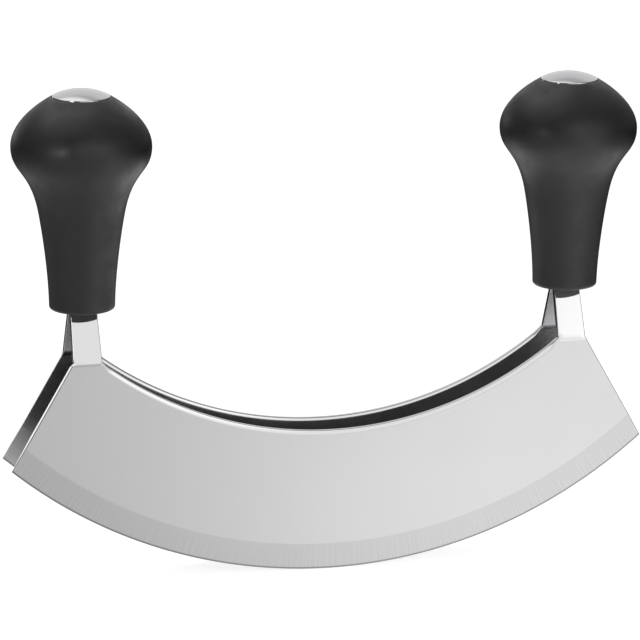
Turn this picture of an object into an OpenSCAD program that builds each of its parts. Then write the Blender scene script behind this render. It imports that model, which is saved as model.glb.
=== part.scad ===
// Twin-blade mezzaluna: two curved blades side by side, each bent at both ends into tangs that
// meet under two palm knobs. It stands on its cutting edges, X runs from knob to knob, Y across
// the two blades and Z up, with the origin midway between the blades at the lowest edge.

/* [Blades] */
// Distance between the two tips of a blade
tip_span = 210; // [175:1:260]
// Radius of the cutting edge
edge_radius = 161.5; // [150:0.5:220]
// Depth of the blade at its middle, from the cutting edge to the back
blade_depth = 46.6; // [36:0.1:56]
// Radius of the blade's back
back_radius = 121.2; // [112:0.1:150]
// Thickness of the blade's sheet
sheet = 2; // [1:0.1:2.5]
// Clear space between the two blades
blade_gap = 14.4; // [8:0.1:20]
// Width of the ground band along the cutting edge
grind_width = 8.6; // [4:0.1:14]
// Thickness left where the ground band meets the honed edge
ground_thickness = 0.5; // [0.3:0.05:0.8]
// Height of the honed edge
hone_height = 0.6; // [0.3:0.1:1]
// Thickness of the cutting edge itself
edge_thickness = 0.1; // [0.05:0.01:0.2]
// Size of the bevel that takes the sharpness off the blade's back
back_ease = 0.4; // [0.1:0.05:0.45]

/* [Tangs] */
// Distance between the axes of the two knobs
knob_spacing = 160.8; // [136:0.1:194]
// Width of a tang at the bend above the blade
tang_foot_width = 9.3; // [8.6:0.1:11]
// Width of a tang inside the knob
tang_width = 8.6; // [6:0.1:11]
// Height from the lower bend to the knob
neck_height = 15.8; // [12:0.1:30]
// Height above the knob's base at which the tangs have met
meet_height = 0.7; // [0.5:0.1:1]
// Length of tang inside the knob
tang_reach = 16.3; // [15:0.1:18]
// Radius on the inner side of each bend
bend_radius = 0.8; // [0.5:0.1:1.5]

/* [Knobs] */
// Height of the knob from its base to its rim
knob_height = 68; // [62:0.1:84]
// Radius of the knob's base
base_radius = 10.5; // [9.5:0.1:13]
// Height of the point where the neck starts to swell
neck_rise = 32.6; // [26:0.1:36]
// Radius of the neck there
neck_radius = 14; // [12:0.1:17]
// Height of the knob's widest place
palm_rise = 52.4; // [48:0.1:56]
// Radius of the knob's widest place
palm_radius = 22.3; // [18.5:0.1:27]
// Width of the flat land round the cap
land_width = 0.6; // [0.4:0.1:2]
// Radius of the rounded corner at the knob's base
base_round = 1.2; // [0.5:0.1:1.4]

/* [Fixings] */
// Width of the tang block along X
block_width = 12; // [11.2:0.1:12.6]
// Thickness of the tang block along Y
block_thickness = 10; // [9.4:0.1:12]
// Height of the tang block
block_height = 24.7; // [23.5:0.1:26]
// Depth of the tang block inside the knob's base
block_recess = 1.5; // [1.5:0.1:2]
// Diameter of the rivets
rivet_d = 3; // [2:0.1:3.6]
// Diameter of a rivet's countersunk head
rivet_head_d = 4.6; // [4.2:0.1:5]
// Height of the lower rivet above the knob's base
lower_rivet_rise = 5; // [4.6:0.1:5.5]
// Height of the upper rivet above the lower one
rivet_pitch = 6.5; // [5.4:0.1:7]
// Diameter of the clamping screw
screw_d = 5; // [4:0.1:6]
// Length of the screw under its head
screw_length = 20; // [16:0.5:21]
// Diameter of the screw's head
screw_head_d = 8.5; // [8:0.1:10.2]
// Height of the screw's head
screw_head_height = 5; // [4:0.1:8]
// Width across the flats of the hexagonal socket
socket_size = 4; // [3:0.1:5]
// Depth of the hexagonal socket
socket_depth = 2.6; // [2:0.1:3.5]
// Thickness of the knob's wall that the screw clamps
clamp_wall = 9.8; // [9:0.1:11]
// Diameter of the flat washer
washer_d = 10; // [9:0.1:10.6]
// Thickness of the flat washer
washer_thickness = 1; // [0.6:0.1:1.6]
// Diameter of the spring washer
spring_washer_d = 9.2; // [8.4:0.1:10.4]
// Thickness of the spring washer
spring_washer_thickness = 1.2; // [0.8:0.1:1.6]
// Width of the spring washer's split
spring_washer_split = 1; // [0.6:0.1:2]
// Diameter of the screw's well in the knob
well_d = 11; // [10.8:0.1:13]

/* [Caps] */
// Diameter of the cap
cap_d = 18.5; // [16:0.1:22]
// Height of the cap's dome
cap_rise = 2.25; // [1.2:0.05:4]
// Height of the cap's rim above the knob's land
cap_stand = 0.35; // [0.1:0.05:0.6]
// Depth of the cap's seat below the land
seat_depth = 1; // [0.6:0.1:1.6]
// Thickness of the cap's sheet
cap_sheet = 0.7; // [0.5:0.05:0.9]
// Length of the plug's stem in the well
stem_length = 8; // [5:0.5:14]

/* [Clearances] */
// Clearance on each side of the tangs in their block
tang_clearance = 0.05; // [0.02:0.01:0.1]
// Clearance on each side of the block, cap and plug in the knob
fit_clearance = 0.05; // [0.02:0.01:0.1]
// Clearance round each rivet
rivet_clearance = 0.03; // [0.02:0.01:0.1]
// Clearance round the screw in its thread
thread_clearance = 0.05; // [0.03:0.01:0.1]
// Clearance round the screw in the knob and the washers
shank_clearance = 0.2; // [0.15:0.05:0.3]

/* [Hidden] */
$fn = 128;

// How far a cutting shape runs past the surface that it cuts
past = 1;
// Steps in a small rounded corner, in a knob's curve and round a blade's full circle
corner_steps = 6;
curve_steps = 12;
circle_steps = 256;

// The blade's outline: where its back meets a tang is the height of the lower bend
blade_y = (blade_gap + sheet) / 2;
back_centre_z = blade_depth + back_radius;
tang_x = knob_spacing / 2;
foot_inner_x = tang_x - tang_foot_width / 2;
foot_outer_x = tang_x + tang_foot_width / 2;
bend_z = back_centre_z - sqrt(pow(back_radius, 2) - pow(foot_inner_x, 2));
tip_x = tip_span / 2;
tip_z = edge_radius - sqrt(pow(edge_radius, 2) - pow(tip_x, 2));
end_run = (tip_x - foot_outer_x) / (bend_z - tip_z);
end_drop = tip_z + past;

// The bends: the middle of the sheet leans from the blade's plane to half a sheet from the centre
knob_z = bend_z + neck_height;
meet_z = knob_z + meet_height;
tang_top_z = knob_z + tang_reach;
lean = atan((blade_y - sheet / 2) / (meet_z - bend_z));
bend_set = (bend_radius + sheet / 2) * tan(lean / 2);

// The knob's outline: the direction in which it runs at each station, in degrees from upright, and
// how far the curve holds that direction on each side
base_lean = 1;
neck_lean = 12;
rim_lean = -60;
base_hold = 12.5;
neck_hold_below = 4.1;
neck_hold_above = 12.7;
palm_hold_below = 7.8;
palm_hold_above = 6.8;
rim_hold = 6;

// What is stacked on the screw, by height above the knob's base
seat_radius = cap_d / 2 + fit_clearance;
rim_radius = seat_radius + land_width;
block_top = block_recess + block_height;
slot_top = tang_reach + tang_clearance;
clamp_top = block_top + clamp_wall;
spring_washer_rise = clamp_top + washer_thickness;
head_rise = spring_washer_rise + spring_washer_thickness;
seat_rise = knob_height - seat_depth;
screw_chamfer = 0.5;
countersink = (rivet_head_d - rivet_d) / 2;
upper_rivet_rise = lower_rivet_rise + rivet_pitch;

// The cap: its dome is part of a ball that meets the rim's top
rim_rise = knob_height + cap_stand;
dome_radius = (pow(cap_d / 2, 2) + pow(cap_rise, 2)) / (2 * cap_rise);
dome_centre = rim_rise + cap_rise - dome_radius;

steel = [0.80, 0.80, 0.80];
dark_steel = [0.45, 0.45, 0.47];
zinc = [0.70, 0.72, 0.74];
black_plastic = [0.14, 0.14, 0.14];
grey_plastic = [0.40, 0.40, 0.42];

// Points along an arc, from one angle to another
function arc(centre, radius, from, to, steps) =
    [for (i = [0 : steps])
        let (angle = from + (to - from) * i / steps)
        centre + radius * [cos(angle), sin(angle)]];

// A step of a given length in a direction that leans from upright
function leaning(angle, length) = length * [sin(angle), cos(angle)];

// Points along the smooth curve between two stations
function curve(start, start_pull, end_pull, end) =
    [for (i = [0 : curve_steps])
        let (t = i / curve_steps, s = 1 - t)
        s * s * s * start + 3 * s * s * t * start_pull + 3 * s * t * t * end_pull + t * t * t * end];

// The knob's outline as radius and height, from the middle of its base to the middle of its rim
function knob_outline() =
    let (
        base = [base_radius, base_round],
        neck = [neck_radius, neck_rise],
        palm = [palm_radius, palm_rise],
        rim = [rim_radius, knob_height]
    )
    concat(
        [[0, 0]],
        arc([base_radius - base_round, base_round], base_round, -90, 0, corner_steps),
        curve(base, base + leaning(base_lean, base_hold), neck - leaning(neck_lean, neck_hold_below), neck),
        curve(neck, neck + leaning(neck_lean, neck_hold_above), palm - leaning(0, palm_hold_below), palm),
        curve(palm, palm + leaning(0, palm_hold_above), rim - leaning(rim_lean, rim_hold), rim),
        [[0, knob_height]]
    );

// Section of the front sheet as Y and Z: upright in the blade, leaning in the neck, upright again
function sheet_section() =
    let (
        lower = [-blade_y + sheet / 2 + bend_radius, bend_z - bend_set],
        upper = [-sheet - bend_radius, meet_z + bend_set]
    )
    concat(
        [[-blade_y - sheet / 2, -past]],
        arc(lower, bend_radius + sheet, 180, 180 - lean, corner_steps),
        arc(upper, bend_radius, -lean, 0, corner_steps),
        [[-sheet, tang_top_z], [0, tang_top_z]],
        arc(upper, bend_radius + sheet, 0, -lean, corner_steps),
        arc(lower, bend_radius, 180 - lean, 180, corner_steps),
        [[-blade_y + sheet / 2, -past]]
    );

// Outline of a blade with its tangs, seen from the front, as X and Z
module blade_outline() {
    difference() {
        intersection() {
            translate([0, edge_radius])
                circle(r = edge_radius, $fn = circle_steps);
            polygon([
                [-tip_x - end_run * end_drop, tip_z - end_drop],
                [tip_x + end_run * end_drop, tip_z - end_drop],
                [foot_outer_x, bend_z],
                [-foot_outer_x, bend_z]
            ]);
        }
        translate([0, back_centre_z])
            circle(r = back_radius, $fn = circle_steps);
    }
    for (side = [-1, 1])
        translate([side * tang_x, 0])
            polygon([
                [-tang_foot_width / 2, bend_z - past],
                [tang_foot_width / 2, bend_z - past],
                [tang_foot_width / 2, bend_z],
                [tang_width / 2, knob_z],
                [tang_width / 2, tang_top_z],
                [-tang_width / 2, tang_top_z],
                [-tang_width / 2, knob_z],
                [-tang_foot_width / 2, bend_z]
            ]);
}

// What the wheel grinds off one face along the cutting edge, as a ring round the edge's centre
module grinding() {
    rotate_extrude($fn = circle_steps)
        polygon([
            [edge_radius - grind_width, sheet / 2],
            [edge_radius - hone_height, ground_thickness / 2],
            [edge_radius, edge_thickness / 2],
            [edge_radius + past, edge_thickness / 2],
            [edge_radius + past, sheet / 2 + past],
            [edge_radius - grind_width, sheet / 2 + past]
        ]);
}

// What the bevel takes off one rim of the back, as a ring round the back's centre
module back_easing() {
    rotate_extrude($fn = circle_steps)
        polygon([
            [back_radius - past, sheet / 2 - back_ease - past],
            [back_radius + back_ease + past, sheet / 2 + past],
            [back_radius - past, sheet / 2 + past]
        ]);
}

// The front blade: one bent sheet, ground on both faces, with two rivet holes in each tang
module blade() {
    difference() {
        intersection() {
            rotate([90, 0, 90])
                linear_extrude(height = tip_span + 2 * past, center = true)
                    polygon(sheet_section());
            rotate([90, 0, 0])
                linear_extrude(height = 2 * (blade_y + sheet), center = true)
                    blade_outline();
        }
        for (face = [0, 1]) {
            translate([0, -blade_y, edge_radius])
                rotate([90, 0, 0])
                    mirror([0, 0, face])
                        grinding();
            intersection() {
                translate([0, -blade_y, back_centre_z])
                    rotate([90, 0, 0])
                        mirror([0, 0, face])
                            back_easing();
                translate([-foot_inner_x, -blade_y - 2 * sheet, 0])
                    cube([2 * foot_inner_x, 4 * sheet, bend_z]);
            }
        }
        for (side = [-1, 1])
            for (rise = [lower_rivet_rise, upper_rivet_rise])
                translate([side * tang_x, 0, knob_z + rise])
                    rotate([90, 0, 0])
                        cylinder(d = rivet_d + 2 * rivet_clearance, h = 4 * sheet, center = true);
    }
}

// A moulded knob: pocket for the tang block, wall for the screw, screw's well and seat for the cap
module knob() {
    color(black_plastic)
        difference() {
            rotate_extrude()
                polygon(knob_outline());
            translate([0, 0, (block_top - past) / 2])
                cube([block_width + 2 * fit_clearance, block_thickness + 2 * fit_clearance,
                    block_top + past], center = true);
            cylinder(d = screw_d + 2 * shank_clearance, h = clamp_top + past);
            translate([0, 0, clamp_top])
                cylinder(d = well_d, h = knob_height);
            translate([0, 0, seat_rise])
                cylinder(r = seat_radius, h = knob_height);
        }
}

// The steel block that the tangs are riveted into: slotted from below, threaded from above
module tang_block() {
    color(dark_steel)
        difference() {
            translate([-block_width / 2, -block_thickness / 2, block_recess])
                cube([block_width, block_thickness, block_height]);
            translate([-block_width / 2 - past, -sheet - tang_clearance, block_recess - past])
                cube([block_width + 2 * past, 2 * (sheet + tang_clearance),
                    slot_top - block_recess + past]);
            cylinder(d = screw_d, h = block_top + past);
            for (rise = [lower_rivet_rise, upper_rivet_rise])
                translate([0, 0, rise])
                    rivet_shape(rivet_clearance);
        }
}

// A rivet along Y with a countersunk head at each end, larger by the clearance for its hole
module rivet_shape(clearance) {
    half = block_thickness / 2;
    rotate([90, 0, 0])
        cylinder(d = rivet_d + 2 * clearance, h = block_thickness, center = true);
    for (turn = [90, -90])
        rotate([turn, 0, 0])
            translate([0, 0, half - countersink - clearance])
                cylinder(d1 = rivet_d + 2 * clearance, d2 = rivet_head_d + 4 * clearance,
                    h = countersink + clearance);
}

module rivet(rise) {
    color(zinc)
        translate([0, 0, rise])
            rivet_shape(0);
}

// The socket-head screw, head up, with its thread drawn as a plain cylinder
module screw() {
    shank_d = screw_d - 2 * thread_clearance;
    color(zinc)
        translate([0, 0, head_rise])
            difference() {
                union() {
                    cylinder(d = screw_head_d, h = screw_head_height);
                    translate([0, 0, -screw_length + screw_chamfer])
                        cylinder(d = shank_d, h = screw_length);
                    translate([0, 0, -screw_length])
                        cylinder(d1 = shank_d - 2 * screw_chamfer, d2 = shank_d, h = screw_chamfer);
                }
                translate([0, 0, screw_head_height - socket_depth])
                    cylinder(d = socket_size / cos(30), h = socket_depth + past, $fn = 6);
            }
}

module flat_washer() {
    color(zinc)
        translate([0, 0, clamp_top])
            difference() {
                cylinder(d = washer_d, h = washer_thickness);
                translate([0, 0, -past])
                    cylinder(d = screw_d + 2 * shank_clearance, h = washer_thickness + 2 * past);
            }
}

// The spring washer, pressed flat, with its split towards the other knob
module spring_washer() {
    color(zinc)
        translate([0, 0, spring_washer_rise])
            difference() {
                cylinder(d = spring_washer_d, h = spring_washer_thickness);
                translate([0, 0, -past]) {
                    cylinder(d = screw_d + 2 * shank_clearance, h = spring_washer_thickness + 2 * past);
                    translate([0, -spring_washer_split / 2, 0])
                        cube([spring_washer_d, spring_washer_split, spring_washer_thickness + 2 * past]);
                }
            }
}

// A dome on a straight wall: the ball gives the crown and the cylinder the wall
module dome(radius, ball_radius) {
    intersection() {
        translate([0, 0, seat_rise])
            cylinder(r = radius, h = knob_height);
        translate([0, 0, dome_centre])
            sphere(r = ball_radius);
    }
}

// The plug that carries the cap: a crowned flange on the seat and a stem pressed into the well
module cap_plug() {
    color(grey_plastic) {
        dome(cap_d / 2 - cap_sheet - fit_clearance, dome_radius - cap_sheet - fit_clearance);
        translate([0, 0, seat_rise - stem_length])
            cylinder(d = well_d - 2 * fit_clearance, h = stem_length + cap_sheet);
    }
}

// The stamped cap: an even sheet over the plug's flange, its rim on the knob's seat
module cap() {
    color(steel)
        difference() {
            dome(cap_d / 2, dome_radius);
            translate([0, 0, -past])
                cylinder(r = cap_d / 2 - cap_sheet, h = seat_rise + 2 * past);
            dome(cap_d / 2 - cap_sheet, dome_radius - cap_sheet);
        }
}

// Puts a piece on the left or the right knob's axis, turned about so that the two sides mirror
module on_axis(side) {
    mirror([side == "right" ? 1 : 0, 0, 0])
        translate([-tang_x, 0, knob_z])
            children();
}

module front_blade() {
    color(steel)
        blade();
}

module rear_blade() {
    color(steel)
        mirror([0, 1, 0])
            blade();
}

front_blade();
rear_blade();
on_axis("left") knob();  // left_knob
on_axis("left") tang_block();  // left_tang_block
on_axis("left") rivet(lower_rivet_rise);  // left_lower_rivet
on_axis("left") rivet(upper_rivet_rise);  // left_upper_rivet
on_axis("left") screw();  // left_screw
on_axis("left") flat_washer();  // left_flat_washer
on_axis("left") spring_washer();  // left_spring_washer
on_axis("left") cap_plug();  // left_cap_plug
on_axis("left") cap();  // left_cap
on_axis("right") knob();  // right_knob
on_axis("right") tang_block();  // right_tang_block
on_axis("right") rivet(lower_rivet_rise);  // right_lower_rivet
on_axis("right") rivet(upper_rivet_rise);  // right_upper_rivet
on_axis("right") screw();  // right_screw
on_axis("right") flat_washer();  // right_flat_washer
on_axis("right") spring_washer();  // right_spring_washer
on_axis("right") cap_plug();  // right_cap_plug
on_axis("right") cap();  // right_cap
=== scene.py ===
"""Looks of a twin-blade mezzaluna: two bent steel blades, two black palm knobs and their steel caps.

Sizes are in millimetres and become metres where a mesh is made. X runs from knob to knob, Y from the
front blade to the rear one and Z up from the cutting edges.
"""

import logging
import math
from dataclasses import dataclass, field
from enum import Enum

import bpy
from mathutils import Matrix, Vector


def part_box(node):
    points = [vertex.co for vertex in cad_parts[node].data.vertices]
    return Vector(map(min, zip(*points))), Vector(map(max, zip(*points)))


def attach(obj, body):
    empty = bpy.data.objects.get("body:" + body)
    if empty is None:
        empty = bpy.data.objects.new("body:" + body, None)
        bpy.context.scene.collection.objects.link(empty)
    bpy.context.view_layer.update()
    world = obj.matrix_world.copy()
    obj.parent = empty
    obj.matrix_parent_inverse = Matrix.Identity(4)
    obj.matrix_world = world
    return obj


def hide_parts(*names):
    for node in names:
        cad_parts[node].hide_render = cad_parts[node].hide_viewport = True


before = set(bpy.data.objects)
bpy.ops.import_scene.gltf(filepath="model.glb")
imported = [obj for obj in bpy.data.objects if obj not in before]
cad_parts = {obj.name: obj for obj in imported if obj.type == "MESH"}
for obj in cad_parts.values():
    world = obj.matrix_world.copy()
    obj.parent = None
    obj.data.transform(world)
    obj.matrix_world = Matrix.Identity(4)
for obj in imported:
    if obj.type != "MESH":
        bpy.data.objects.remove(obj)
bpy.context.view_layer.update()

ROOT = "root"
MM = 0.001
# Levels between which a noise texture mostly stays
NOISE_SPAN = (0.3, 0.7)
# Octaves of a finish's grain and of its patches
GRAIN_DETAIL, PATCH_DETAIL = 2.0, 3.0
# Numbers of a Mix node's inputs A and B and of its result, for numbers and for colours
NUMBER_A, NUMBER_B, NUMBER_OUT = 2, 3, 0
COLOUR_A, COLOUR_B, COLOUR_OUT = 6, 7, 2
# Middle of a range from 0 to 1, such as a softbox's face or a pattern's height
MIDDLE = 0.5
# A Map Range node's setting for a level that starts and ends softly
SOFT = "SMOOTHSTEP"
# Corners sharper than this stay crisp on the knobs and caps
CREASE = math.radians(40)
# Least divisor where a ring's point lies straight ahead of a pocket's wall
TINY = 1e-9
LOG = logging.getLogger("mezzaluna")

Point = tuple[float, float]
Point3 = tuple[float, float, float]
# Where a flat face ends, and the outline's point beyond it
Pair = tuple[Point, Point]
# Outer and inner vertex of the rim, with their pair
RimEntry = tuple[int, int, Point, Point]


class Side(Enum):
    """The knob's side, as the sign of X."""

    LEFT = -1
    RIGHT = 1

    @property
    def word(self) -> str:
        """The side's name as the nodes use it."""
        return self.name.lower()


class Zone(Enum):
    """Part of a blade's surface, in the order of its material slots."""

    FACE = 0
    GROUND = 1
    HONED = 2
    POLISHED = 3
    INNER = 4


def linear(hex_colour: str) -> tuple[float, float, float, float]:
    """Turns an sRGB hex colour to linear.

    Args:
        hex_colour: Six hex digits.

    Returns:
        Linear red, green and blue, with alpha 1.
    """
    channels = [int(hex_colour[i:i + 2], 16) / 255 for i in (0, 2, 4)]
    red, green, blue = (c / 12.92 if c <= 0.04045 else ((c + 0.055) / 1.055) ** 2.4 for c in channels)
    return red, green, blue, 1.0


def add_node(tree: bpy.types.NodeTree, kind: str, links: dict | None = None, **settings) -> bpy.types.Node:
    """Adds a node with its settings and links.

    Args:
        tree: The node tree that takes the node.
        kind: The node's type name.
        links: Input name or number to an output socket, to a node whose first output is meant, or to a
            value.
        settings: Attributes of the node.

    Returns:
        The new node.
    """
    node = tree.nodes.new(kind)
    for name, value in settings.items():
        setattr(node, name, value)
    for key, value in (links or {}).items():
        source = value.outputs[0] if isinstance(value, bpy.types.Node) else value
        if isinstance(source, bpy.types.NodeSocket):
            tree.links.new(source, node.inputs[key])
        else:
            node.inputs[key].default_value = source
    return node


@dataclass(frozen=True)
class Finish:
    """What every finish has: a name, a colour, a roughness and how much it varies."""

    name: str
    colour: str
    roughness: float
    metallic: float = 1.0
    # Index of refraction: moulded plastics have about 1.5, which is also the default that metals keep
    ior: float = 1.5
    # Share by which the roughness varies from place to place
    wander: float = 0.1
    # Width of that variation's patches
    patch_mm: float = 9.0
    # Width and height of the surface's fine grain
    grain_mm: float = 0.25
    grain_depth_mm: float = 0.002
    # How bright the grain's hollows are beside its crests
    hollow: float = 0.93

    def grain(self, tree: bpy.types.NodeTree, place: bpy.types.NodeSocket) -> bpy.types.NodeSocket:
        """Fine even grain, from 0 to 1.

        Args:
            tree: The material's tree.
            place: The place on the surface.

        Returns:
            The grain's height.
        """
        noise = add_node(tree, "ShaderNodeTexNoise", {"Vector": place, "Scale": 1 / (self.grain_mm * MM),
                                                      "Detail": GRAIN_DETAIL})
        return noise.outputs["Fac"]

    def tint(self, tree: bpy.types.NodeTree, grain: bpy.types.NodeSocket) -> bpy.types.NodeSocket:
        """The colour, a little darker in the grain's hollows.

        Args:
            tree: The material's tree.
            grain: The grain's height.

        Returns:
            The colour.
        """
        base = linear(self.colour)
        dark = tuple(c * self.hollow for c in base[:3]) + (1.0,)
        mix = add_node(tree, "ShaderNodeMix", {"Factor": grain, COLOUR_A: dark, COLOUR_B: base},
                       data_type="RGBA")
        return mix.outputs[COLOUR_OUT]

    def make(self) -> bpy.types.Material:
        """Makes the material.

        Returns:
            The material, or the one of that name that is already there.
        """
        if self.name in bpy.data.materials:
            return bpy.data.materials[self.name]
        material = bpy.data.materials.new(self.name)
        material.use_nodes = True
        tree = material.node_tree
        tree.nodes.clear()
        place = add_node(tree, "ShaderNodeTexCoord").outputs["Object"]
        grain = self.grain(tree, place)
        patches = add_node(tree, "ShaderNodeTexNoise", {"Vector": place, "Scale": 1 / (self.patch_mm * MM),
                                                        "Detail": PATCH_DETAIL})
        roughness = add_node(tree, "ShaderNodeMapRange", {
            "Value": patches.outputs["Fac"],
            "From Min": NOISE_SPAN[0],
            "From Max": NOISE_SPAN[1],
            "To Min": self.roughness * (1 - self.wander),
            "To Max": self.roughness * (1 + self.wander),
        })
        bump = add_node(tree, "ShaderNodeBump", {"Height": grain, "Strength": 1.0,
                                                 "Distance": self.grain_depth_mm * MM})
        shader = add_node(tree, "ShaderNodeBsdfPrincipled", {
            "Base Color": self.tint(tree, grain),
            "Metallic": self.metallic,
            "IOR": self.ior,
            "Roughness": roughness,
            "Normal": bump,
        })
        add_node(tree, "ShaderNodeOutputMaterial", {"Surface": shader})
        return material


@dataclass(frozen=True)
class WheelGround(Finish):
    """Steel ground by a wheel: fine lines that run across the band, towards the cutting edge's centre."""

    # Height of the cutting edge's centre, and the lines' width along the edge; real lines are 0.1 mm
    # wide and are drawn wider so that they show
    centre_mm: float = 161.5
    line_mm: float = 0.4
    # Distances from the edge between which the lines fade, and what is left of them there
    fade_mm: Point = (3.5, 8.0)
    faded: float = 0.35

    def grain(self, tree: bpy.types.NodeTree, place: bpy.types.NodeSocket) -> bpy.types.NodeSocket:
        """Lines across the band, from 0 to 1.

        Args:
            tree: The material's tree.
            place: The place on the surface.

        Returns:
            The lines' height.
        """
        parts = add_node(tree, "ShaderNodeSeparateXYZ", {"Vector": place})
        drop = add_node(tree, "ShaderNodeMath", {0: self.centre_mm * MM, 1: parts.outputs["Z"]},
                        operation="SUBTRACT")
        turn = add_node(tree, "ShaderNodeMath", {0: parts.outputs["X"], 1: drop}, operation="ARCTAN2")
        noise = add_node(tree, "ShaderNodeTexNoise", {"W": turn, "Scale": self.centre_mm / self.line_mm,
                                                      "Detail": 0.0}, noise_dimensions="1D")
        lines = add_node(tree, "ShaderNodeMapRange", {"Value": noise.outputs["Fac"],
                                                      "From Min": NOISE_SPAN[0], "From Max": NOISE_SPAN[1]})
        flat = add_node(tree, "ShaderNodeCombineXYZ", {"X": parts.outputs["X"], "Y": drop})
        reach = add_node(tree, "ShaderNodeVectorMath", {0: flat}, operation="LENGTH")
        strength = add_node(tree, "ShaderNodeMapRange", {
            "Value": reach.outputs["Value"],
            "From Min": (self.centre_mm - self.fade_mm[0]) * MM,
            "From Max": (self.centre_mm - self.fade_mm[1]) * MM,
            "To Min": 1.0,
            "To Max": self.faded,
        })
        mix = add_node(tree, "ShaderNodeMix", {"Factor": strength, NUMBER_A: MIDDLE, NUMBER_B: lines})
        return mix.outputs[NUMBER_OUT]


# Stainless sheet with a satin face: it spreads the light of the studio into one soft grey
SATIN_STEEL = Finish("satin_stainless_steel", "C8C8C9", 0.38, wander=0.06, patch_mm=22,
                     grain_depth_mm=0.0006)
# The band that the wheel ground: a shade darker, with fine lines towards the edge
GROUND_STEEL = WheelGround("wheel_ground_steel", "C0C0C1", 0.38, wander=0.05, grain_depth_mm=0.001,
                           hollow=0.88)
# The honed edge: a narrow bevel whose colour is painted darker than the other steel; this painted shade
# draws the dark line under the band that the shadowed floor it mirrors gives
HONED_STEEL_PAINTED_SHADE = Finish("honed_steel_painted_shade", "8A8A8C", 0.3)
# Polished rims and tangs: they mirror the knobs and the lamps
POLISHED_STEEL = Finish("polished_stainless_steel", "C8C8C9", 0.05, wander=0.15, grain_depth_mm=0.0003)
# Inner faces as the rolling mill left them: smooth, so each mirrors the other and the gap looks dark
ROLLED_STEEL = Finish("cold_rolled_stainless_steel", "C4C4C5", 0.23, wander=0.1, patch_mm=15,
                      grain_depth_mm=0.0002)
# Stamped and polished caps: near mirrors
CAP_STEEL = Finish("polished_cap_steel", "C6C6C8", 0.05, wander=0.15, grain_depth_mm=0.0002)
# Black phenolic moulding with a matt skin: deep grey with wide soft lights
MOULDED_PLASTIC = Finish("moulded_black_phenolic", "111110", 0.46, metallic=0.0, wander=0.18, patch_mm=6,
                         grain_mm=0.5, grain_depth_mm=0.012)
# Sawn and drilled steel, plated fasteners and a grey moulded plug, all inside the knobs
MACHINED_STEEL = Finish("machined_steel", "8C8C90", 0.35)
ZINC_PLATE = Finish("zinc_plated_steel", "B9BDC2", 0.30)
MOULDED_PLUG = Finish("moulded_grey_nylon", "6A6A6C", 0.5, metallic=0.0)


def dress(piece: bpy.types.Object, *finishes: Finish) -> None:
    """Gives a piece its finishes, one to a slot.

    Args:
        piece: The piece to dress.
        finishes: The finishes, in the order of the slots.
    """
    piece.data.materials.clear()
    for finish in finishes:
        piece.data.materials.append(finish.make())


def new_piece(name: str, points: list[Point3], faces: list[tuple[int, ...]]) -> bpy.types.Object:
    """Makes a mesh object from points in millimetres.

    Args:
        name: The piece's name.
        points: Places of the vertices.
        faces: The vertices of each face.

    Returns:
        The object, shaded smooth and linked to the scene.
    """
    mesh = bpy.data.meshes.new(name)
    mesh.from_pydata([tuple(c * MM for c in p) for p in points], [], faces)
    mesh.validate()
    mesh.shade_smooth()
    piece = bpy.data.objects.new(name, mesh)
    bpy.context.scene.collection.objects.link(piece)
    return piece


def finish_piece(piece: bpy.types.Object, node: str) -> None:
    """Puts a piece in the place of its node and reports it.

    Args:
        piece: The new piece.
        node: The CAD node that it stands for.
    """
    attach(piece, ROOT)
    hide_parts(node)
    LOG.info("%s: %d faces in the place of %s", piece.name, len(piece.data.polygons), node)


def spread(low: float, high: float, steps: int) -> list[float]:
    """Evenly spaced numbers.

    Args:
        low: The first number.
        high: The last number.
        steps: How many steps lie between them.

    Returns:
        The numbers, both ends included.
    """
    return [low + (high - low) * i / steps for i in range(steps + 1)]


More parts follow.
